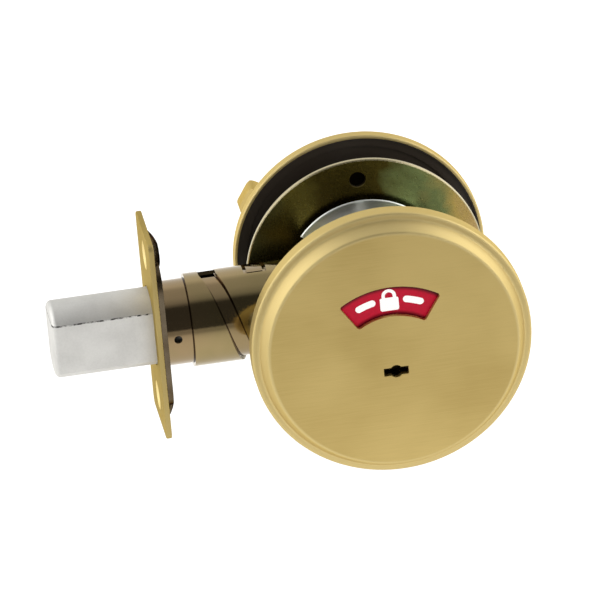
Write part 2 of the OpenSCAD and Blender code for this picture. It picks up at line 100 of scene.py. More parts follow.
def linear(code: str) -> Colour:
    """Turn an sRGB hex colour into linear RGBA.

    Args:
        code: Colour as "#rrggbb".

    Returns:
        Linear red, green, blue and an alpha of 1.
    """
    parts = [int(code[i : i + 2], 16) / 255 for i in (1, 3, 5)]
    red, green, blue = (c / 12.92 if c <= 0.04045 else ((c + 0.055) / 1.055) ** 2.4 for c in parts)
    return red, green, blue, 1.0


def add_node(
    tree: Tree,
    kind: str,
    inputs: dict[str | int, Any] | None = None,
    stops: list[tuple[float, Colour]] | None = None,
    **settings: Any,
) -> Node:
    """Add a node with its settings, values and links.

    Args:
        tree: Node tree that gets the node.
        kind: Blender's type name of the node.
        inputs: For each input, by name or number, its value or the output that feeds it.
        stops: Place from 0 to 1 and colour of each of a colour ramp's stops, in order.
        settings: The node's own properties.

    Returns:
        The new node.
    """
    node = tree.nodes.new(kind)
    for name, value in settings.items():
        setattr(node, name, value)
    for key, value in (inputs or {}).items():
        if isinstance(value, Socket):
            tree.links.new(value, node.inputs[key])
        else:
            node.inputs[key].default_value = value
    if stops:
        elements = node.color_ramp.elements
        while len(elements) < len(stops):
            elements.new(1.0)
        for element, (place, colour) in zip(elements, stops):
            element.position = place
            element.color = colour
    return node


def clear_nodes(owner: bpy.types.Material | bpy.types.World) -> Tree:
    """Give a material or a world an empty node tree, and return the tree."""
    owner.use_nodes = True
    owner.node_tree.nodes.clear()
    return owner.node_tree


def add_round_place(tree: Tree, place: Socket) -> tuple[Socket, Socket]:
    """Find a point's radius about the axis along Y and its depth along that axis.

    Args:
        tree: The material's node tree.
        place: Coordinates whose origin is on the axis.

    Returns:
        The radius and the depth, both in metres.
    """
    flat = add_node(tree, "ShaderNodeVectorMath", {0: place, 1: (1, 0, 1)}, operation="MULTIPLY")
    radius = add_node(tree, "ShaderNodeVectorMath", {0: flat.outputs[0]}, operation="LENGTH")
    axes = add_node(tree, "ShaderNodeSeparateXYZ", {0: place})
    return radius.outputs["Value"], axes.outputs["Y"]


def make_object(name: str, mesh: BMesh) -> bpy.types.Object:
    """Turn a finished bmesh into an object of the scene.

    Args:
        name: Name of the object and its mesh.
        mesh: Its shape, in place.

    Returns:
        The new object.
    """
    data = bpy.data.meshes.new(name)
    mesh.to_mesh(data)
    mesh.free()
    made = bpy.data.objects.new(name, data)
    bpy.context.scene.collection.objects.link(made)
    return made


def corners_in(geometry: list[Any]) -> list[bmesh.types.BMVert]:
    """Pick the corners out of what a mesh operator returns."""
    return [part for part in geometry if isinstance(part, bmesh.types.BMVert)]


class Lay(Enum):
    """Direction in which a surface was brushed."""

    ACROSS = (1.0, 0.0, 0.0)
    THROUGH = (0.0, 1.0, 0.0)
    UPRIGHT = (0.0, 0.0, 1.0)


@dataclass(frozen=True)
class Finish:
    """A surface finish that becomes one material.

    Attributes:
        name: Material name, after the real material and how its surface was made.
        slot: The record's material slot; not used by this script.
    """

    name: str
    slot: str

    def build(self) -> bpy.types.Material:
        """Make the material, unless it exists.

        Returns:
            The material.
        """
        made = bpy.data.materials.get(self.name)
        if made is not None:
            return made
        material = bpy.data.materials.new(self.name)
        tree = clear_nodes(material)
        shader = add_node(tree, "ShaderNodeBsdfPrincipled")
        add_node(tree, "ShaderNodeOutputMaterial", {"Surface": shader.outputs[0]})
        self.paint(tree, shader, add_node(tree, "ShaderNodeTexCoord").outputs["Object"])
        return material

    def paint(self, tree: Tree, shader: Node, place: Socket) -> None:
        """Wire the finish into the shader.

        Args:
            tree: The material's node tree.
            shader: Its Principled shader.
            place: Object coordinates.
        """
        raise NotImplementedError


@dataclass(frozen=True)
class GrainedFinish(Finish):
    """A finish with a fine pattern that shows in its gloss and its relief.

    Attributes:
        roughness: Middle roughness.
        relief: Strength of the pattern's bump.
        gloss: Roughness that the hollows and the crests of the pattern add.
        height: Height of the pattern in mm.
    """

    roughness: float
    relief: float
    gloss: Pair = (-0.05, 0.05)
    height: float = 0.02

    def add_grain(self, tree: Tree, shader: Node, pattern: Socket) -> None:
        """Wire the pattern into roughness and bump.

        Args:
            tree: The material's node tree.
            shader: Its Principled shader.
            pattern: Value of the pattern, a noise.
        """
        hollow, crest = (self.roughness + change for change in self.gloss)
        gloss = add_node(
            tree, "ShaderNodeMapRange", {"Value": pattern, **NOISE_RANGE, "To Min": hollow, "To Max": crest}
        )
        tree.links.new(gloss.outputs["Result"], shader.inputs["Roughness"])
        bump = add_node(
            tree,
            "ShaderNodeBump",
            {"Height": pattern, "Strength": self.relief, "Distance": self.height * MM},
        )
        tree.links.new(bump.outputs[0], shader.inputs["Normal"])


@dataclass(frozen=True)
class BrushedBrass(GrainedFinish):
    """Satin brass under clear lacquer: fine straight brush marks give a soft, streaked gloss.

    Attributes:
        tone: Main colour.
        shade: Colour of the deeper streaks.
        lay: Direction of the brush marks.
        mark: Width of one brush mark in mm. Real marks are about 0.05 mm: drawn coarser, so that they show.
        stroke: Length of one brush mark in mm.
        cloud: Width in mm of the soft clouds that the colour drifts in.
        streaked: Share of the marks in the colour, added to the clouds.
        span: Sum of marks and clouds where the colour is the shade, and where it is the main colour.
        lacquer: Weight of the lacquer's own reflection.
        lacquer_roughness: Roughness of the lacquer.
        turned_from: Radius in mm, about the roses' axis, from which the marks run round instead.
        turned_width: Width of a mark that runs round, in widths of a straight one.
        turned_blend: Half the width in mm of the ring where the two kinds of marks meet.
        rim: Colour of the turned rim: lighter than the face, a painted highlight that brightens the rim's
            reflections.
        hollow: Radius in mm of the hollow behind a face, which is painted dark, and the place of its roof
            along Y.
        hollow_shade: Dark colour painted in that hollow, a painted shade.
    """

    roughness: float = 0.54
    relief: float = 0.14
    tone: str = "#ceb777"
    shade: str = "#bba364"
    lay: Lay = Lay.ACROSS
    mark: float = 0.16
    stroke: float = 9.0
    cloud: float = 28.0
    streaked: float = 0.7
    span: Pair = (0.55, 1.0)
    lacquer: float = 0.05
    lacquer_roughness: float = 0.25
    turned_from: float | None = None
    turned_width: float = 1.25
    turned_blend: float = 0.2
    # Lighter colour of the turned rim: a painted highlight.
    rim: str = "#d2be84"
    hollow: Pair | None = None
    # Near-black colour of the hollow behind a face: a painted shade.
    hollow_shade: str = "#241d13"

    def paint(self, tree: Tree, shader: Node, place: Socket) -> None:
        """Wire brush marks into colour, roughness and bump.

        Args:
            tree: The material's node tree.
            shader: Its Principled shader.
            place: Object coordinates.
        """
        marks = self.add_straight_marks(tree, place)
        outside = None
        if self.turned_from is not None:
            outside = self.add_outside(tree, place)
            rings = self.add_round_marks(tree, place)
            marks = add_node(
                tree, "ShaderNodeMix", {"Factor": outside, "A": marks, "B": rings}
            ).outputs["Result"]
        cloud = add_node(
            tree, "ShaderNodeTexNoise", {"Vector": place, "Scale": 1 / (self.cloud * MM), "Detail": 2.0}
        ).outputs["Fac"]
        blend = add_node(
            tree, "ShaderNodeMath", {0: marks, 1: self.streaked, 2: cloud}, operation="MULTIPLY_ADD"
        ).outputs[0]
        colours = (linear(self.shade), linear(self.tone))
        colour = add_node(
            tree, "ShaderNodeValToRGB", {"Fac": blend}, stops=list(zip(self.span, colours))
        ).outputs["Color"]
        # Painted highlight: the turned rim is given a lighter colour.
        if outside is not None:
            colour = add_node(
                tree,
                "ShaderNodeMix",
                {"Factor": outside, "A": colour, "B": linear(self.rim)},
                data_type="RGBA",
            ).outputs["Result"]
        tree.links.new(self.add_painted_light(tree, place, colour), shader.inputs["Base Color"])
        self.add_grain(tree, shader, marks)
        shader.inputs["Metallic"].default_value = 1.0
        shader.inputs["Specular Tint"].default_value = linear(self.tone)
        shader.inputs["Coat Weight"].default_value = self.lacquer
        shader.inputs["Coat Roughness"].default_value = self.lacquer_roughness

    def add_straight_marks(self, tree: Tree, place: Socket) -> Socket:
        """Add brush marks along the lay.

        Args:
            tree: The material's node tree.
            place: Object coordinates.

        Returns:
            Value of the marks.
        """
        fine, long = 1 / (self.mark * MM), 1 / (self.stroke * MM)
        scale = [long if part else fine for part in self.lay.value]
        drawn = add_node(tree, "ShaderNodeVectorMath", {0: place, 1: scale}, operation="MULTIPLY")
        return add_node(
            tree,
            "ShaderNodeTexNoise",
            {"Vector": drawn.outputs[0], "Scale": 1.0, "Detail": 3.0, "Roughness": 0.6},
        ).outputs["Fac"]

    def add_round_marks(self, tree: Tree, place: Socket) -> Socket:
        """Add turned marks that run round the roses' axis.

        Args:
            tree: The material's node tree.
            place: Object coordinates.

        Returns:
            Value of the marks.
        """
        radius, depth = add_round_place(tree, place)
        along = add_node(tree, "ShaderNodeMath", {0: radius, 1: depth}, operation="ADD").outputs[0]
        scale = 1 / (self.mark * self.turned_width * MM)
        return add_node(
            tree,
            "ShaderNodeTexNoise",
            {"W": along, "Scale": scale, "Detail": 2.0},
            noise_dimensions="1D",
        ).outputs["Fac"]

    def add_outside(self, tree: Tree, place: Socket) -> Socket:
        """Add the mask of the turned rim.

        Args:
            tree: The material's node tree.
            place: Object coordinates.

        Returns:
            0 on the face and 1 on the rim.
        """
        inner, outer = (self.turned_from + side * self.turned_blend for side in (-1, 1))
        return add_node(
            tree,
            "ShaderNodeMapRange",
            {"Value": add_round_place(tree, place)[0], "From Min": inner * MM, "From Max": outer * MM},
        ).outputs["Result"]

    def add_painted_light(self, tree: Tree, place: Socket, colour: Socket) -> Socket:
        """Darken the hollow behind the face, if there is one: painted shade in the recess.

        Args:
            tree: The material's node tree.
            place: Object coordinates.
            colour: Colour of the brass.

        Returns:
            The colour with a dark hollow.
        """
        if self.hollow is None:
            return colour
        radius, depth = add_round_place(tree, place)
        reach, roof = (size * MM for size in self.hollow)
        near = add_node(tree, "ShaderNodeMath", {0: radius, 1: reach}, operation="LESS_THAN").outputs[0]
        below = add_node(tree, "ShaderNodeMath", {0: depth, 1: roof}, operation="LESS_THAN").outputs[0]
        inside = add_node(tree, "ShaderNodeMath", {0: near, 1: below}, operation="MULTIPLY").outputs[0]
        # Painted shade in the hollow behind the face.
        return add_node(
            tree, "ShaderNodeMix", {"Factor": inside, "A": colour, "B": linear(self.hollow_shade)}, data_type="RGBA"
        ).outputs["Result"]


@dataclass(frozen=True)
class SinkHighlightBrass(BrushedBrass):
    """Brushed brass with a painted highlight: its countersinks are coloured bright, standing in for the
    light that they catch.

    Attributes:
        face: Place of the plate's face along X in mm.
        skin: Depth in mm behind the face from which a surface counts as part of a countersink.
        offset: Height in mm of each countersink above or below the middle.
        reach: Half the width in mm of the square that a countersink lies in.
        sink_highlight: Colour of the countersinks, a painted highlight.
    """

    face: float = -BACKSET
    skin: float = 0.08
    offset: float = FACE_SCREWS / 2
    reach: float = 4.5
    # Bright colour of the countersinks: a painted highlight.
    sink_highlight: str = "#efdca2"

    def add_painted_light(self, tree: Tree, place: Socket, colour: Socket) -> Socket:
        """Paint a highlight on the countersinks: what lies behind the face inside their squares.

        Args:
            tree: The material's node tree.
            place: Object coordinates.
            colour: Colour of the brass.

        Returns:
            The colour with bright countersinks.
        """
        axes = add_node(tree, "ShaderNodeSeparateXYZ", {0: place}).outputs
        height = add_node(tree, "ShaderNodeMath", {0: axes["Z"]}, operation="ABSOLUTE").outputs[0]
        hole = add_node(
            tree,
            "ShaderNodeMath",
            {0: axes["X"], 1: (self.face + self.skin) * MM},
            operation="GREATER_THAN",
        ).outputs[0]
        for distance, middle in ((height, self.offset), (axes["Y"], 0.0)):
            near = add_node(
                tree,
                "ShaderNodeMath",
                {0: distance, 1: middle * MM, 2: self.reach * MM},
                operation="COMPARE",
            ).outputs[0]
            hole = add_node(tree, "ShaderNodeMath", {0: hole, 1: near}, operation="MULTIPLY").outputs[0]
        # Painted highlight on the countersinks.
        return add_node(
            tree, "ShaderNodeMix", {"Factor": hole, "A": colour, "B": linear(self.sink_highlight)}, data_type="RGBA"
        ).outputs["Result"]


@dataclass(frozen=True)
class PassivatedZinc(GrainedFinish):
    """Yellow chromate on zinc plate: a smooth metal whose thin film drifts in khaki, green, gold and pink.

    Attributes:
        film: Place from 0 to 1 and colour of each stop that the film drifts through, from thin to thick.
        patch: Width of one colour patch in mm.
        mottle: Share of the patches in the film's thickness.
        drift: Direction and rate at which the film thickens, per metre.
        base: Middle film value at the origin, where the drift is zero.
        grit: Width of one grain in mm. Real grains are finer: drawn coarser, so that they show.
        cut_edge: Radius in mm, about the roses' axis, from which the sheared edge shows.
        sheared: Pale colour of the thin film on that edge.
    """

    roughness: float = 0.12
    gloss: Pair = (-0.03, 0.05)
    relief: float = 0.04
    film: tuple[tuple[float, str], ...] = ((0.2, "#877a52"), (0.5, "#96855e"), (0.8, "#a28a67"))
    patch: float = 22.0
    mottle: float = 0.9
    drift: Point = (0.0, 0.0, 0.0)
    base: float = 0.5
    grit: float = 0.5
    cut_edge: float | None = None
    sheared: str = "#b4a986"

    def paint(self, tree: Tree, shader: Node, place: Socket) -> None:
        """Wire the film into colour, and grain into roughness and bump.

        Args:
            tree: The material's node tree.
            shader: Its Principled shader.
            place: Object coordinates.
        """
        patches = add_node(
            tree,
            "ShaderNodeTexNoise",
            {"Vector": place, "Scale": 1 / (self.patch * MM), "Detail": 3.0, "Distortion": 0.6},
        ).outputs["Fac"]
        slope = add_node(
            tree, "ShaderNodeVectorMath", {0: place, 1: self.drift}, operation="DOT_PRODUCT"
        ).outputs["Value"]
        mottled = add_node(
            tree, "ShaderNodeMath", {0: patches, 1: self.mottle, 2: slope}, operation="MULTIPLY_ADD"
        ).outputs[0]
        thinnest = self.base - NOISE_MIDDLE * self.mottle
        level = add_node(tree, "ShaderNodeMath", {0: mottled, 1: thinnest}, operation="ADD").outputs[0]
        stops = [(stop, linear(code)) for stop, code in self.film]
        colour = add_node(tree, "ShaderNodeValToRGB", {"Fac": level}, stops=stops).outputs["Color"]
        tree.links.new(self.add_edges(tree, place, colour), shader.inputs["Base Color"])
        grain = add_node(
            tree,
            "ShaderNodeTexNoise",
            {"Vector": place, "Scale": 1 / (self.grit * MM), "Detail": 4.0, "Roughness": 0.65},
        ).outputs["Fac"]
        self.add_grain(tree, shader, grain)
        shader.inputs["Metallic"].default_value = 1.0

    def add_edges(self, tree: Tree, place: Socket, colour: Socket) -> Socket:
        """Lighten the sheared edge, if there is one.

        Args:
            tree: The material's node tree.
            place: Object coordinates.
            colour: Colour of the film.

        Returns:
            The colour with a pale edge.
        """
        if self.cut_edge is None:
            return colour
        radius = add_round_place(tree, place)[0]
        edge = add_node(
            tree, "ShaderNodeMath", {0: radius, 1: self.cut_edge * MM}, operation="GREATER_THAN"
        ).outputs[0]
        pale = linear(self.sheared)
        return add_node(
            tree, "ShaderNodeMix", {"Factor": edge, "A": colour, "B": pale}, data_type="RGBA"
        ).outputs["Result"]


@dataclass(frozen=True)
class SleevedZinc(PassivatedZinc):
    """Passivated tube that runs in an outer one, with painted shade: dark lines just inside the outer one's
    edges, where the gap between the tubes is in shadow.

    Attributes:
        seam: Place in mm behind the faceplate's face of the line just before the outer tube's front edge.
        helix: The same, at the top of the tube, of the two lines just inside the outer tube's helical slot.
        lead: Travel of the slot along X in one turn, in mm.
        line: Half the width of a dark line in mm.
        gap_shade: Colour of the lines, a painted shade.
    """

    seam: float = HOUSING_START - 0.2
    helix: Pair = (SLOT_START + 0.3, SLOT_START + SLOT_WIDTH - 0.2)
    lead: float = SLOT_LEAD
    line: float = 0.17
    # Colour of the painted shade in the gaps along the outer tube's edges.
    gap_shade: str = "#38291a"

    def add_edges(self, tree: Tree, place: Socket, colour: Socket) -> Socket:
        """Draw the dark lines of painted shade.

        Args:
            tree: The material's node tree.
            place: Object coordinates.
            colour: Colour of the film.

        Returns:
            The colour with dark lines on it.
        """
        axes = add_node(tree, "ShaderNodeSeparateXYZ", {0: place}).outputs
        near = add_node(tree, "ShaderNodeMath", {0: axes["Y"], 1: -1.0}, operation="MULTIPLY").outputs[0]
        turn = add_node(tree, "ShaderNodeMath", {0: near, 1: axes["Z"]}, operation="ARCTAN2").outputs[0]
        rate = -self.lead * MM / (2 * math.pi)
        unwound = add_node(
            tree, "ShaderNodeMath", {0: turn, 1: rate, 2: axes["X"]}, operation="MULTIPLY_ADD"
        ).outputs[0]
        dark = None
        for along, centre in ((axes["X"], self.seam), *((unwound, edge) for edge in self.helix)):
            mark = add_node(
                tree,
                "ShaderNodeMath",
                {0: along, 1: (centre - BACKSET) * MM, 2: self.line * MM},
                operation="COMPARE",
            ).outputs[0]
            if dark is not None:
                mark = add_node(tree, "ShaderNodeMath", {0: dark, 1: mark}, operation="MAXIMUM").outputs[0]
            dark = mark
        # Painted shade: the lines darken the film just inside the outer tube's edges.
        return add_node(
            tree, "ShaderNodeMix", {"Factor": dark, "A": colour, "B": linear(self.gap_shade)}, data_type="RGBA"
        ).outputs["Result"]


@dataclass(frozen=True)
class CastMetal(GrainedFinish):
    """Plated metal with a fine cast or tumbled grain: an even grey with a soft sparkle.

    Attributes:
        tone: Main colour.
        stain: Colour of the duller patches.
        patch: Width of one patch in mm.
        span: Noise where a patch is dullest, and where it ends.
        grit: Width of one grain in mm. Real grit is about 0.1 mm: drawn coarser, so that it shows.
        crease_height: Height in mm of a broken dark line of painted shade, along the crease where a flat
            meets the round top, if there is one.
        crease_half: Half the line's width in mm.
        crease_shade: Colour of the line, a painted shade.
        crease_gap: Length in mm of the line's breaks.
        crease_span: Noise where a break is faintest, and where it ends.
        crease_faint: Share of the line that is left in a break.
    """

    roughness: float = 0.42
    gloss: Pair = (-0.06, 0.06)
    relief: float = 0.2
    tone: str = "#d9d8d4"
    stain: str = "#d0cfcb"
    patch: float = 9.0
    span: Pair = (0.35, 0.6)
    grit: float = 0.35
    # Painted shade: a dark broken line along the bolt's crease.
    crease_height: float | None = None
    crease_half: float = 0.2
    crease_shade: str = "#3c3a37"
    crease_gap: float = 0.9
    crease_span: Pair = (0.4, 0.56)
    crease_faint: float = 0.1

    def paint(self, tree: Tree, shader: Node, place: Socket) -> None:
        """Wire patches into colour, and grain into roughness and bump.

        Args:
            tree: The material's node tree.
            shader: Its Principled shader.
            place: Object coordinates.
        """
        patches = add_node(
            tree, "ShaderNodeTexNoise", {"Vector": place, "Scale": 1 / (self.patch * MM), "Detail": 4.0}
        ).outputs["Fac"]
        colours = (linear(self.stain), linear(self.tone))
        colour = add_node(
            tree, "ShaderNodeValToRGB", {"Fac": patches}, stops=list(zip(self.span, colours))
        ).outputs["Color"]
        # Painted shade along the crease.
        if self.crease_height is not None:
            colour = self.add_crease_shade(tree, place, colour)
        tree.links.new(colour, shader.inputs["Base Color"])
        grain = add_node(
            tree, "ShaderNodeTexNoise", {"Vector": place, "Scale": 1 / (self.grit * MM), "Detail": 3.0}
        ).outputs["Fac"]
        self.add_grain(tree, shader, grain)
        shader.inputs["Metallic"].default_value = 1.0
        shader.inputs["Specular Tint"].default_value = linear(self.stain)

    def add_crease_shade(self, tree: Tree, place: Socket, colour: Socket) -> Socket:
        """Draw the dark line of painted shade along the crease where a flat meets the round top.

        Args:
            tree: The material's node tree.
            place: Object coordinates.
            colour: Colour of the metal.

        Returns:
            The colour with the line on it.
        """
        height = add_node(tree, "ShaderNodeSeparateXYZ", {0: place}).outputs["Z"]
        near = add_node(
            tree,
            "ShaderNodeMath",
            {0: height, 1: self.crease_height * MM, 2: self.crease_half * MM},
            operation="COMPARE",
        ).outputs[0]
        breaks = add_node(
            tree, "ShaderNodeTexNoise", {"Vector": place, "Scale": 1 / (self.crease_gap * MM), "Detail": 2.0}
        ).outputs["Fac"]
        low, high = self.crease_span
        kept = add_node(
            tree,
            "ShaderNodeMapRange",
            {"Value": breaks, "From Min": low, "From Max": high, "To Min": self.crease_faint},
        ).outputs["Result"]
        line = add_node(tree, "ShaderNodeMath", {0: near, 1: kept}, operation="MULTIPLY").outputs[0]
        dark = linear(self.crease_shade)
        return add_node(
            tree, "ShaderNodeMix", {"Factor": line, "A": colour, "B": dark}, data_type="RGBA"
        ).outputs["Result"]


@dataclass(frozen=True)
class MouldedAcetal(GrainedFinish):
    """Black acetal from a spark-eroded mould: dark, dull and faintly grained.

    Attributes:
        tone: Its colour.
        grit: Width of one grain in mm. Real grains are finer: drawn coarser, so that they show.
        ior: Its index of refraction.
    """

    roughness: float = 0.39
    gloss: Pair = (-0.07, 0.07)
    relief: float = 0.2
    height: float = 0.03
    tone: str = "#28221c"
    grit: float = 0.35
    ior: float = 1.48

    def paint(self, tree: Tree, shader: Node, place: Socket) -> None:
        """Wire the mould's grain into roughness and bump.

        Args:
            tree: The material's node tree.
            shader: Its Principled shader.
            place: Object coordinates.
        """
        grain = add_node(
            tree, "ShaderNodeTexNoise", {"Vector": place, "Scale": 1 / (self.grit * MM), "Detail": 3.0}
        ).outputs["Fac"]
        self.add_grain(tree, shader, grain)
        shader.inputs["Base Color"].default_value = linear(self.tone)
        shader.inputs["IOR"].default_value = self.ior


@dataclass(frozen=True)
class FlagEnamel(Finish):
    """Stoved enamel on the steel flag: one half red, the other green, smooth with a soft gloss.

    Attributes:
        engaged: Colour of the half that shows when the bolt is thrown.
        vacant: Colour of the other half.
        drop: Height of the spindle's axis in mm.
        split: Angle in degrees, clockwise from upright, where the two halves meet.
        middle: Middle radius in mm of the part that is left without painted shade.
        clear: Distance in mm from there where the painted shade starts: the flag darkens under the window's
            round edges, where the gap behind them is in shadow.
        shade_deepest: The same where the painted shade is deepest.
        window_shade: Brightness under the deepest painted shade.
        flow: Width in mm of the waves in which the enamel flowed.
        mottle: Brightness in the waves' hollows and on their crests.
        relief: Strength of the waves' bump.
        height: Height of the waves in mm.
        roughness: Roughness of the enamel.
        ior: Its index of refraction.
        shine: Level of its reflection, half the usual one.
    """

    engaged: str = "#b00d2b"
    vacant: str = "#1c7a41"
    drop: float = SPINDLE_Z
    split: float = -45.0
    middle: float = 19.95
    # Painted shade: the flag darkens towards the window's round edges, where the gap behind them is in
    # shadow.
    clear: float = 2.8
    shade_deepest: float = 3.7
    window_shade: float = 0.2
    flow: float = 1.2
    mottle: Pair = (0.9, 1.05)
    relief: float = 0.05
    height: float = 0.05
    roughness: float = 0.36
    ior: float = 1.52
    shine: float = 0.25

    def paint(self, tree: Tree, shader: Node, place: Socket) -> None:
        """Wire the two halves, the painted shade under the window's edges, a faint flow mottle and a soft
        orange-peel bump.

        Args:
            tree: The material's node tree.
            shader: Its Principled shader.
            place: Object coordinates.
        """
        centred = add_node(
            tree, "ShaderNodeMapping", {"Vector": place, "Location": (0, 0, -self.drop * MM)}
        ).outputs[0]
        flow = add_node(
            tree, "ShaderNodeTexNoise", {"Vector": place, "Scale": 1 / (self.flow * MM), "Detail": 2.0}
        ).outputs["Fac"]
        hollow, crest = self.mottle
        depth = add_node(
            tree, "ShaderNodeMapRange", {"Value": flow, **NOISE_RANGE, "To Min": hollow, "To Max": crest}
        ).outputs["Result"]
        # Painted shade under the window's round edges.
        unshaded = self.add_window_shade(tree, centred)
        level = add_node(tree, "ShaderNodeMath", {0: depth, 1: unshaded}, operation="MULTIPLY").outputs[0]
        halves = self.add_halves(tree, centred)
        colour = add_node(tree, "ShaderNodeVectorMath", {0: halves, 1: level}, operation="MULTIPLY")
        tree.links.new(colour.outputs[0], shader.inputs["Base Color"])
        bump = add_node(
            tree, "ShaderNodeBump", {"Height": flow, "Strength": self.relief, "Distance": self.height * MM}
        )
        tree.links.new(bump.outputs[0], shader.inputs["Normal"])
        shader.inputs["Roughness"].default_value = self.roughness
        shader.inputs["IOR"].default_value = self.ior
        shader.inputs["Specular IOR Level"].default_value = self.shine

    def add_halves(self, tree: Tree, centred: Socket) -> Socket:
        """Add the colours of the two halves.

        Args:
            tree: The material's node tree.
            centred: Coordinates about the spindle's axis.

        Returns:
            The colour of the halves, without the painted shade.
        """
        axes = add_node(tree, "ShaderNodeSeparateXYZ", {0: centred}).outputs
        angle = add_node(tree, "ShaderNodeMath", {0: axes["X"], 1: axes["Z"]}, operation="ARCTAN2")
        split = math.radians(self.split)
        half = add_node(
            tree, "ShaderNodeMath", {0: angle.outputs[0], 1: split}, operation="GREATER_THAN"
        ).outputs[0]
        return add_node(
            tree,
            "ShaderNodeMix",
            {"Factor": half, "A": linear(self.vacant), "B": linear(self.engaged)},
            data_type="RGBA",
        ).outputs["Result"]

    def add_window_shade(self, tree: Tree, centred: Socket) -> Socket:
        """Add painted shade under the window's two round edges: the flag darkens towards them.

        Args:
            tree: The material's node tree.
            centred: Coordinates about the spindle's axis.

        Returns:
            Brightness: 1 where the flag has no painted shade.
        """
        radius = add_round_place(tree, centred)[0]
        away = add_node(
            tree, "ShaderNodeMath", {0: radius, 1: self.middle * MM}, operation="SUBTRACT"
        ).outputs[0]
        apart = add_node(tree, "ShaderNodeMath", {0: away}, operation="ABSOLUTE").outputs[0]
        return add_node(
            tree,
            "ShaderNodeMapRange",
            {"Value": apart, "From Min": self.clear * MM, "From Max": self.shade_deepest * MM,
             "To Min": 1.0, "To Max": self.window_shade},
        ).outputs["Result"]


@dataclass(frozen=True)
class ScreenInk(Finish):
    """White screen ink: an opaque matt film with a fine mesh grain.

    Attributes:
        tone: Its colour.
        thin: Its colour where the mesh left it thin.
        mesh: Width of one cell of the printing mesh in mm. Real cells are finer: drawn coarser to show.
        span: Noise where the ink is thin, and where it is full.
        roughness: Its roughness.
    """

    tone: str = "#ffffff"
    thin: str = "#f4f1ec"
    mesh: float = 0.2
    span: Pair = (0.3, 0.6)
    roughness: float = 0.5

    def paint(self, tree: Tree, shader: Node, place: Socket) -> None:
        """Wire the grain of the printing mesh into colour.

        Args:
            tree: The material's node tree.
            shader: Its Principled shader.
            place: Object coordinates.
        """
        cells = add_node(
            tree, "ShaderNodeTexNoise", {"Vector": place, "Scale": 1 / (self.mesh * MM), "Detail": 2.0}
        ).outputs["Fac"]
        colours = (linear(self.thin), linear(self.tone))
        colour = add_node(tree, "ShaderNodeValToRGB", {"Fac": cells}, stops=list(zip(self.span, colours)))
        tree.links.new(colour.outputs["Color"], shader.inputs["Base Color"])
        shader.inputs["Roughness"].default_value = self.roughness


ROSE_BRASS = BrushedBrass("brushed_brass_rose", "satin_brass", turned_from=33.0)
INSIDE_BRASS = BrushedBrass(
    "brushed_brass_inside_rose", "satin_brass", turned_from=29.0, hollow=(30.55, 32.3)
)
# The faceplate's brass is darker than the rose's: a shaded copy of the same brass, painted shade.
PLATE_BRASS = SinkHighlightBrass(
    "brushed_brass_faceplate", "satin_brass", tone="#bba76d", shade="#a8945c", lay=Lay.UPRIGHT
)
LEVER_BRASS = BrushedBrass("brushed_brass_lever", "satin_brass", lay=Lay.THROUGH, stroke=5.0)
# The barrel's dark colour is painted shade: it darkens the keyhole behind the rose's face.
BARREL_BRASS = BrushedBrass(
    "brass_barrel_painted_shade", "satin_brass", tone="#54472c", shade="#352c1a", lay=Lay.THROUGH, stroke=5.0
)
TUBE_ZINC = PassivatedZinc("yellow_passivated_zinc_tube", "yellow_zinc")
FRONT_ZINC = SleevedZinc(
    "yellow_passivated_zinc_front_tube",
    "yellow_zinc",
    film=((0.2, "#8a7a58"), (0.5, "#927f5d"), (0.8, "#9b8263")),
)
DISC_ZINC = PassivatedZinc(
    "yellow_passivated_zinc_plate",
    "yellow_zinc",
    film=(
        (0.0, "#5c6650"), (0.18, "#6a602e"), (0.32, "#423818"), (0.58, "#473d19"),
        (0.69, "#707a50"), (0.8, "#b0995a"), (0.94, "#bfa176"),
    ),
    patch=16.0,
    mottle=0.38,
    drift=(14.0, 0.0, 0.0),
    base=0.45,
    roughness=0.28,
    cut_edge=31.85,
)
BRIGHT_ZINC = CastMetal(
    "bright_zinc_plate", "bright_zinc",
    tone="#d6d8d8", stain="#c6c9c8", grit=0.6, relief=0.02, roughness=0.18,
)
COLLAR_ZINC = CastMetal(
    "bright_zinc_die_cast", "bright_zinc",
    tone="#eef0ea", stain="#e4e8de", grit=0.6, relief=0.03, roughness=0.4,
)
# The backplate's dark brown tone is a shaded copy of the bright zinc: painted shade.
BACK_ZINC = CastMetal(
    "bright_zinc_pressed_painted_shade", "bright_zinc",
    tone="#716553", stain="#5b4e3c", grit=0.5, relief=0.06, roughness=0.28,
)
SATIN_STEEL = CastMetal("satin_nickel_plate", "satin_steel")
BOLT_NICKEL = CastMetal(
    "satin_nickel_die_cast", "satin_steel",
    tone="#dddcd8", stain="#d3d2ce", grit=0.6, relief=0.9, roughness=0.58, crease_height=6.9,
)
BLACK_ACETAL = MouldedAcetal("black_moulded_acetal", "black_plastic")
FLAG = FlagEnamel("stoved_flag_enamel", "flag_enamel")
INK = ScreenInk("white_screen_ink", "flag_enamel")


def make_edge_smoother(limit: float) -> Tree:
    """Make the modifier's node group that shades smooth up to an angle.

    Args:
        limit: Largest angle between two faces, in degrees, that is shaded smooth.

    Returns:
        The node group.
    """
    tree = bpy.data.node_groups.new("smooth_by_angle", "GeometryNodeTree")
    for way in ("INPUT", "OUTPUT"):
        tree.interface.new_socket("Geometry", in_out=way, socket_type="NodeSocketGeometry")
    source = add_node(tree, "NodeGroupInput")
    angle = add_node(tree, "GeometryNodeInputMeshEdgeAngle")
    gentle = add_node(
        tree, "FunctionNodeCompare", {0: angle.outputs[0], 1: math.radians(limit)}, operation="LESS_EQUAL"
    )
    faces = add_node(tree, "GeometryNodeSetShadeSmooth", {0: source.outputs[0], 2: True}, domain="FACE")
    edges = add_node(
        tree, "GeometryNodeSetShadeSmooth", {0: faces.outputs[0], 2: gentle.outputs[0]}, domain="EDGE"
    )
    add_node(tree, "NodeGroupOutput", {0: edges.outputs[0]})
    return tree


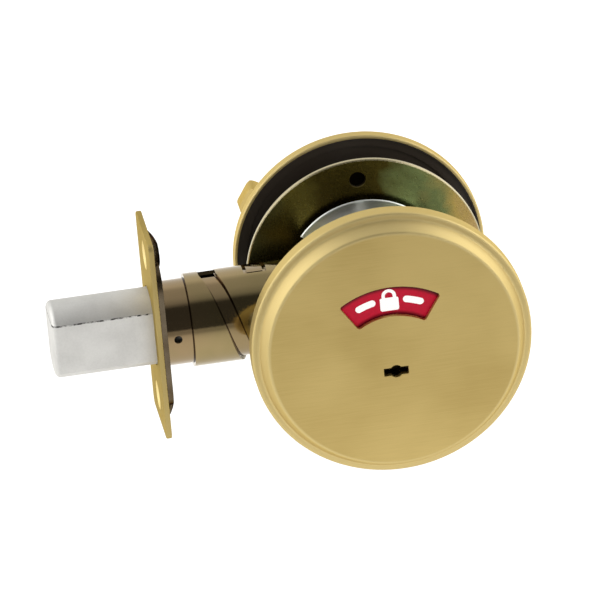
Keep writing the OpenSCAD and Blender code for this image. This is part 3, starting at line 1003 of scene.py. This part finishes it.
@dataclass
class SubAssembly:
    """A group of pieces that are dressed together.

    Attributes:
        nodes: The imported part's objects by name.
        smoother: Node group that shades smooth by angle.
        finishes: Finish of each of the group's nodes.
        edges: Width in mm of the broken edge of a node, where it isn't the usual one.
        edge: Usual width of a broken edge in mm.
        edge_angle: Angle between two faces, in degrees, from which their edge is broken.
        edge_cuts: Faces across a broken edge.
        flat_angle: Angle in degrees up to which neighbouring triangles become one flat face.
        flat_lead: How far large faces lead the shading: 50 is even, 100 is most.
    """

    nodes: dict[str, bpy.types.Object]
    smoother: Tree
    finishes: dict[str, Finish] = field(default_factory=dict)
    edges: dict[str, float] = field(default_factory=dict)
    edge: float = 0.12
    edge_angle: float = 40.0
    edge_cuts: int = 2
    flat_angle: float = 0.2
    flat_lead: int = 80

    def dress(self) -> None:
        """Give each node its finish, broken edges and smooth shading."""
        for name, finish in self.finishes.items():
            piece = self.nodes[name]
            self.paint(piece, finish)
            self.shade(piece, self.edges.get(name, self.edge))
            LOG.info("dressed %s in %s", name, finish.name)

    def build(self) -> None:
        """Add the pieces that the frame lacks: none, unless the group has its own."""

    def paint(self, piece: bpy.types.Object, finish: Finish) -> None:
        """Give a piece one finish.

        Args:
            piece: The piece's object.
            finish: Its finish.
        """
        piece.data.materials.clear()
        piece.data.materials.append(finish.build())

    def shade(self, piece: bpy.types.Object, width: float) -> None:
        """Add the modifiers that join loose triangles, break the edges and shade the surface.

        Args:
            piece: The node's object.
            width: Width of the broken edge in mm, or 0 to leave it sharp.
        """
        weld = piece.modifiers.new("weld", "WELD")
        weld.merge_threshold = JOIN * MM
        if width:
            flat = piece.modifiers.new("join_flat_faces", "DECIMATE")
            flat.decimate_type = "DISSOLVE"
            flat.angle_limit = math.radians(self.flat_angle)
            bevel = piece.modifiers.new("broken_edges", "BEVEL")
            bevel.width = width * MM
            bevel.segments = self.edge_cuts
            bevel.limit_method = "ANGLE"
            bevel.angle_limit = math.radians(self.edge_angle)
            bevel.use_clamp_overlap = False
        self.smooth(piece)
        weighted = piece.modifiers.new("flat_faces_lead", "WEIGHTED_NORMAL")
        weighted.keep_sharp = True
        weighted.weight = self.flat_lead

    def smooth(self, piece: bpy.types.Object) -> None:
        """Add the modifier that shades a piece smooth by angle."""
        modifier = piece.modifiers.new("smooth_by_angle", "NODES")
        modifier.node_group = self.smoother

    def add_piece(self, name: str, mesh: BMesh, body: str, finish: Finish) -> None:
        """Turn a finished bmesh into a piece of the object.

        Args:
            name: Name of the piece.
            mesh: Its shape, in place.
            body: CAD body that it moves with.
            finish: Its finish.
        """
        bmesh.ops.remove_doubles(mesh, verts=mesh.verts, dist=JOIN * MM)
        bmesh.ops.recalc_face_normals(mesh, faces=mesh.faces)
        piece = make_object(name, mesh)
        self.paint(piece, finish)
        self.smooth(piece)
        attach(piece, body)
        LOG.info("added %s on %s", name, body)


@dataclass
class FlagMark:
    """A generic padlock between two curved bars, printed on one half of the flag.

    Attributes:
        centre: Spindle's axis where it meets the front of the flag, in mm.
        radius: Middle radius of the window in mm, which is also the bars'.
        turn: Angle of the mark in degrees, clockwise from upright.
        lift: Length in mm of the shackle's legs: more for an open lock.
        legs: Sides of the lock where the shackle has a leg, -1 for left and 1 for right.
        sink: Distance in mm of the middle of the lock's body below the middle radius.
        ink: Thickness of the print in mm.
        body_w: Width of the lock's body in mm.
        body_h: Height of the lock's body in mm.
        corner: Radius of its corners in mm.
        corner_cuts: Edges round one of its corners.
        stroke: Width of the shackle's line in mm.
        shackle_r: Inner radius of the shackle in mm.
        shackle_cuts: Edges along the shackle's half turn.
        bar_from: Angle in degrees between the middle of the mark and the near end of a bar.
        bar_to: The same to the far end.
        bar_w: Width of a bar in mm.
        bar_cuts: Edges along a bar.
        end_round: Radius of the corners at a bar's ends, as a share of its width.
        end_cuts: Edges round one of those corners.
    """

    centre: Point
    radius: float
    turn: float
    lift: float
    legs: tuple[int, ...] = (-1, 1)
    sink: float = 1.35
    ink: float = 0.05
    body_w: float = 5.0
    body_h: float = 3.8
    corner: float = 0.5
    corner_cuts: int = 5
    stroke: float = 0.9
    shackle_r: float = 1.05
    shackle_cuts: int = 20
    bar_from: float = 10.5
    bar_to: float = 26.5
    bar_w: float = 1.9
    bar_cuts: int = 4
    end_round: float = 0.48
    end_cuts: int = 6

    def build(self) -> BMesh:
        """Print the lock and the bars, and put them in place on the flag.

        Returns:
            The mark's shape in the row frame.
        """
        mesh = bmesh.new()
        self.add_lock_body(mesh)
        self.add_shackle(mesh)
        for side in (-1, 1):
            self.add_bar(mesh, side)
        bmesh.ops.remove_doubles(mesh, verts=mesh.verts, dist=JOIN * MM)
        thick = bmesh.ops.extrude_face_region(mesh, geom=list(mesh.faces))
        bmesh.ops.translate(mesh, verts=corners_in(thick["geom"]), vec=(0, 0, self.ink * MM))
        upright = Matrix.Rotation(math.radians(90), 4, "X")
        turned = Matrix.Rotation(math.radians(self.turn), 4, "Y")
        place = Matrix.Translation(Vector(self.centre) * MM)
        bmesh.ops.transform(mesh, matrix=place @ turned @ upright, verts=mesh.verts)
        return mesh

    def add_lock_body(self, mesh: BMesh) -> None:
        """Add the lock's body: a rectangle with round corners.

        Args:
            mesh: The mark.
        """
        size = Matrix.Diagonal((self.body_w * MM, self.body_h * MM, 1, 1))
        place = Matrix.Translation((0, (self.radius - self.sink) * MM, 0))
        made = bmesh.ops.create_grid(mesh, x_segments=1, y_segments=1, size=0.5, matrix=place @ size)
        self.round_corners(mesh, made["verts"], self.corner, self.corner_cuts)

    def add_shackle(self, mesh: BMesh) -> None:
        """Add the lock's shackle: a half turn and its straight legs.

        Args:
            mesh: The mark.
        """
        base = (self.radius + 0.5 * self.body_h - self.sink) * MM
        top = base + self.lift * MM
        line = (self.shackle_r * MM, (self.shackle_r + self.stroke) * MM)
        self.sweep(mesh, [(x, top, 0) for x in line], (0, top, 0), math.pi, self.shackle_cuts)
        for side in self.legs:
            ends = [mesh.verts.new((side * x, top, 0)) for x in line]
            leg = bmesh.ops.extrude_edge_only(mesh, edges=[mesh.edges.new(ends)])
            bmesh.ops.translate(mesh, verts=corners_in(leg["geom"]), vec=(0, base - top, 0))

    def add_bar(self, mesh: BMesh, side: int) -> None:
        """Add a curved bar with round ends to one side of the lock.

        Args:
            mesh: The mark.
            side: -1 for left, 1 for right.
        """
        start = math.radians(90 - side * self.bar_from)
        angle = -side * math.radians(self.bar_to - self.bar_from)
        radii = [(self.radius + edge * self.bar_w / 2) * MM for edge in (-1, 1)]
        line = [(r * math.cos(start), r * math.sin(start), 0) for r in radii]
        corners = self.sweep(mesh, line, (0, 0, 0), angle, self.bar_cuts)
        self.round_corners(mesh, corners, self.end_round * self.bar_w, self.end_cuts)

    def sweep(
        self, mesh: BMesh, line: list[Point], centre: Point, angle: float, cuts: int
    ) -> list[bmesh.types.BMVert]:
        """Sweep a short line round a point of the print.

        Args:
            mesh: The mark.
            line: The line's two ends.
            centre: The point.
            angle: Angle of the sweep in radians.
            cuts: Edges along the sweep.

        Returns:
            The corners at the start and at the end of the sweep.
        """
        foot = [mesh.verts.new(end) for end in line]
        edge = mesh.edges.new(foot)
        spun = bmesh.ops.spin(
            mesh, geom=[edge, *foot], cent=centre, axis=(0, 0, 1),
            angle=angle, steps=cuts, use_duplicate=False,
        )
        return [*foot, *corners_in(spun["geom_last"])]

    def round_corners(
        self, mesh: BMesh, corners: list[bmesh.types.BMVert], radius: float, cuts: int
    ) -> None:
        """Round some corners of the print.

        Args:
            mesh: The mark.
            corners: The corners.
            radius: Distance in mm from a corner to where its rounding starts.
            cuts: Edges round a corner.
        """
        bmesh.ops.bevel(
            mesh, geom=corners, offset=radius * MM, offset_type="OFFSET",
            segments=cuts, profile=0.5, affect="VERTICES", material=-1,
        )


@dataclass
class OutsideTrim(SubAssembly):
    """Outside rose, its housing, and the flag and barrel that turn behind it.

    Attributes:
        spindle_z: Height of the spindle's axis in mm.
        window_radius: Middle radius of the window about that axis in mm.
    """

    spindle_z: float = SPINDLE_Z
    window_radius: float = 20.35

    def __post_init__(self) -> None:
        """Choose the finishes and the edges."""
        self.finishes = {
            "indicator_rose": ROSE_BRASS,
            "outside_housing": COLLAR_ZINC,
            "indicator_disc": FLAG,
            "emergency_barrel": BARREL_BRASS,
            "barrel_clip": BRIGHT_ZINC,
        }
        self.edges = {"indicator_rose": 0.1, "indicator_disc": 0.0}

    def build(self) -> None:
        """Print a mark on each half of the flag."""
        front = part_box("indicator_disc")[0].y / MM
        centre = (0.0, front, self.spindle_z)
        closed = FlagMark(centre, self.window_radius, turn=0.0, lift=0.5)
        opened = FlagMark(centre, self.window_radius, turn=-90.0, lift=1.2, legs=(1,), sink=1.75)
        self.add_piece("flag_mark_engaged", closed.build(), "spindle", INK)
        self.add_piece("flag_mark_vacant", opened.build(), "spindle", INK)


@dataclass
class BoltCase(SubAssembly):
    """Bolt, faceplate, tubes of the case, and the crank that draws the bolt."""

    def __post_init__(self) -> None:
        """Choose the finishes and the edges."""
        self.finishes = {
            "bolt": BOLT_NICKEL,
            "draw_bar": TUBE_ZINC,
            "draw_bar_rivet": SATIN_STEEL,
            "faceplate": PLATE_BRASS,
            "backplate": BACK_ZINC,
            "front_tube": FRONT_ZINC,
            "rear_housing": TUBE_ZINC,
            "crank": TUBE_ZINC,
            "crank_pin": SATIN_STEEL,
            "tailpiece": TUBE_ZINC,
        }
        self.edges = {"bolt": 0.0, "faceplate": 0.25, "rear_housing": 0.0, "front_tube": 0.0}


@dataclass
class InsideTrim(SubAssembly):
    """Mounting plate and its screws, inside rose and thumbturn."""

    def __post_init__(self) -> None:
        """Choose the finishes and the edges."""
        self.finishes = {
            "mounting_plate": DISC_ZINC,
            "mounting_screws": BRIGHT_ZINC,
            "inside_rose": INSIDE_BRASS,
            "rose_liner": BLACK_ACETAL,
            "turn_bush": BLACK_ACETAL,
            "thumbturn": LEVER_BRASS,
            "turn_spindle": SATIN_STEEL,
            "turn_circlip": BRIGHT_ZINC,
            "friction_washer": SATIN_STEEL,
            "lever_screw": SATIN_STEEL,
        }
        self.edges = {"thumbturn": 0.0}


@dataclass(frozen=True)
class Softbox:
    """A rectangular lamp behind white cloth.

    Attributes:
        name: Name of the lamp.
        place: Its place in metres.
        size: Its width and height in metres.
        power: Its power in watts.
        highlight: Whether polished metal shows it.
    """

    name: str
    place: Point
    size: Pair
    power: float
    highlight: bool = True

    def hang(self, target: Point) -> None:
        """Hang the softbox so that it points at the object.

        Args:
            target: Point that it faces, in metres.
        """
        lamp = bpy.data.lights.new(self.name, "AREA")
        lamp.shape = "RECTANGLE"
        lamp.size, lamp.size_y = self.size
        lamp.energy = self.power
        box = bpy.data.objects.new(self.name, lamp)
        box.visible_glossy = self.highlight
        box.location = self.place
        facing = Vector(target) - Vector(self.place)
        box.rotation_euler = facing.to_track_quat("-Z", "Y").to_euler()
        bpy.context.scene.collection.objects.link(box)


@dataclass
class Studio:
    """Pale floor, soft lamps and a dim room, with the camera at the photograph's angle.

    Attributes:
        azimuth: Camera's angle round the object, in degrees.
        elevation: Its angle above the horizon.
        roll: Its roll.
        distance: Its distance from the target in metres.
        target: Point that it looks at, in metres.
        lens: Focal length in mm.
        sensor: Width of the sensor in mm.
        clip: Nearest and farthest distance that it sees, in metres.
        softboxes: The lamps.
        room: Brightness of the room from its front end, 0, to its back wall, 1.
        floor_half: Half the width of the floor in metres.
        paper: Colour of the floor's paper.
        light: Colour of the table's light.
        white: Brightness that the lit table adds to the paper as the camera sees it.
        glow: The same as metal reflects it, behind the object.
        shade: The same where the table ends in front.
        shade_from: Depth in metres where the table's light starts to fall off.
        shade_to: Depth where it has fallen off.
    """

    azimuth: float = -6.0
    elevation: float = 25.4
    roll: float = -5.5
    distance: float = 5.0
    target: Point = (-0.02001, 0.0, 0.00115)
    lens: float = 1128.0
    sensor: float = 36.0
    clip: Pair = (0.05, 30.0)
    softboxes: tuple[Softbox, ...] = (
        Softbox("overhead_softbox", (-0.3, 0.35, 1.3), (1.4, 0.7), 6.0, highlight=False),
        Softbox("front_fill", (0.3, -1.6, 0.9), (1.2, 1.0), 24.0, highlight=False),
        Softbox("left_softbox", (-1.2, 0.15, 0.6), (1.8, 1.6), 13.0),
        Softbox("right_softbox", (1.25, 0.1, 0.5), (1.8, 1.6), 14.0),
        Softbox("front_left_softbox", (-0.62, -1.4, 0.28), (0.5, 0.5), 3.2),
        Softbox("front_right_softbox", (0.75, -1.3, 0.28), (0.5, 0.5), 3.2),
    )
    room: tuple[Pair, ...] = ((0.27, 0.07), (0.36, 0.42), (0.5, 0.6), (0.74, 0.68), (0.85, 1.05))
    floor_half: float = 6.0
    paper: str = "#7f7e7d"
    light: str = "#ffffff"
    white: float = 0.85
    glow: float = 1.0
    shade: float = 0.08
    shade_from: float = -0.02
    shade_to: float = -0.25

    def build(self, floor_z: float) -> None:
        """Set up the floor, the world, the lamps and the camera.

        Args:
            floor_z: Height of the floor in metres.
        """
        self.add_floor(floor_z)
        self.add_world()
        for softbox in self.softboxes:
            softbox.hang(self.target)
        self.add_camera()
        bpy.context.scene.view_settings.view_transform = "Standard"

    def add_floor(self, floor_z: float) -> None:
        """Lay a pale floor that reads white and keeps the object's shadow.

        Args:
            floor_z: Height of the floor in metres.
        """
        mesh = bmesh.new()
        bmesh.ops.create_grid(mesh, x_segments=1, y_segments=1, size=self.floor_half)
        bmesh.ops.translate(mesh, verts=mesh.verts, vec=(0, 0, floor_z))
        floor = make_object("floor", mesh)
        floor.data.materials.append(self.make_paper())
        floor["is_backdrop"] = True

    def make_paper(self) -> bpy.types.Material:
        """Make the floor's paper: matt, and lit from below as the camera and the metal see it.

        Returns:
            The material.
        """
        material = bpy.data.materials.new("white_studio_paper")
        tree = clear_nodes(material)
        path = add_node(tree, "ShaderNodeLightPath").outputs
        seen = path["Is Camera Ray"]
        for ray in ("Is Glossy Ray", "Is Transmission Ray"):
            seen = add_node(tree, "ShaderNodeMath", {0: seen, 1: path[ray]}, operation="MAXIMUM").outputs[0]
        place = add_node(tree, "ShaderNodeTexCoord").outputs["Object"]
        depth = add_node(tree, "ShaderNodeSeparateXYZ", {0: place}).outputs["Y"]
        level = add_node(
            tree,
            "ShaderNodeMapRange",
            {"Value": depth, "From Min": self.shade_to, "From Max": self.shade_from,
             "To Min": self.shade, "To Max": self.glow},
        ).outputs["Result"]
        direct = add_node(
            tree, "ShaderNodeMath", {0: path["Is Camera Ray"], 1: self.white}, operation="MULTIPLY"
        ).outputs[0]
        strength = add_node(tree, "ShaderNodeMath", {0: level, 1: direct}, operation="MAXIMUM").outputs[0]
        paper = add_node(tree, "ShaderNodeBsdfDiffuse", {"Color": linear(self.paper)})
        glow = add_node(tree, "ShaderNodeEmission", {"Color": linear(self.light), "Strength": strength})
        lit = add_node(tree, "ShaderNodeAddShader", {0: paper.outputs[0], 1: glow.outputs[0]})
        shown = add_node(tree, "ShaderNodeMixShader", {0: seen, 1: paper.outputs[0], 2: lit.outputs[0]})
        add_node(tree, "ShaderNodeOutputMaterial", {"Surface": shown.outputs[0]})
        return material

    def add_world(self) -> None:
        """Light the room: a white wall behind the object, grey above it and dark behind the camera."""
        world = bpy.data.worlds.new("studio_room")
        tree = clear_nodes(world)
        way = add_node(tree, "ShaderNodeTexCoord").outputs["Generated"]
        depth = add_node(tree, "ShaderNodeSeparateXYZ", {0: way}).outputs["Y"]
        share = add_node(
            tree, "ShaderNodeMapRange", {"Value": depth, "From Min": -1.0, "From Max": 1.0}
        ).outputs["Result"]
        stops = [(place, (level, level, level, 1.0)) for place, level in self.room]
        levels = add_node(tree, "ShaderNodeValToRGB", {"Fac": share}, stops=stops).outputs["Color"]
        room = add_node(tree, "ShaderNodeBackground", {"Color": levels, "Strength": 1.0})
        add_node(tree, "ShaderNodeOutputWorld", {"Surface": room.outputs[0]})
        bpy.context.scene.world = world

    def add_camera(self) -> None:
        """Put the camera where the photograph was taken from."""
        turn, rise = math.radians(self.azimuth), math.radians(self.elevation)
        back = Vector(
            (math.sin(turn) * math.cos(rise), -math.cos(turn) * math.cos(rise), math.sin(rise))
        )
        right = Vector((math.cos(turn), math.sin(turn), 0))
        facing = Matrix((right, back.cross(right), back)).transposed()
        facing = facing @ Matrix.Rotation(math.radians(self.roll), 3, "Z")
        data = bpy.data.cameras.new("photo_camera")
        data.lens = self.lens
        data.sensor_width = self.sensor
        data.clip_start, data.clip_end = self.clip
        camera = bpy.data.objects.new("photo_camera", data)
        place = Matrix.Translation(Vector(self.target) + back * self.distance)
        camera.matrix_world = place @ facing.to_4x4()
        bpy.context.scene.collection.objects.link(camera)
        bpy.context.scene.camera = camera


def main() -> None:
    """Load the frame, then build and dress each sub-assembly and set up the studio."""
    logging.basicConfig(level=logging.INFO, format="%(name)s: %(message)s")
    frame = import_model()
    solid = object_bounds()
    nodes = frame["nodes"]
    smoother = make_edge_smoother(SMOOTH_ANGLE)
    for group in (OutsideTrim(nodes, smoother), BoltCase(nodes, smoother), InsideTrim(nodes, smoother)):
        group.dress()
        group.build()
    Studio().build(floor_z=solid[0].z)


if __name__ == "__main__":
    main()
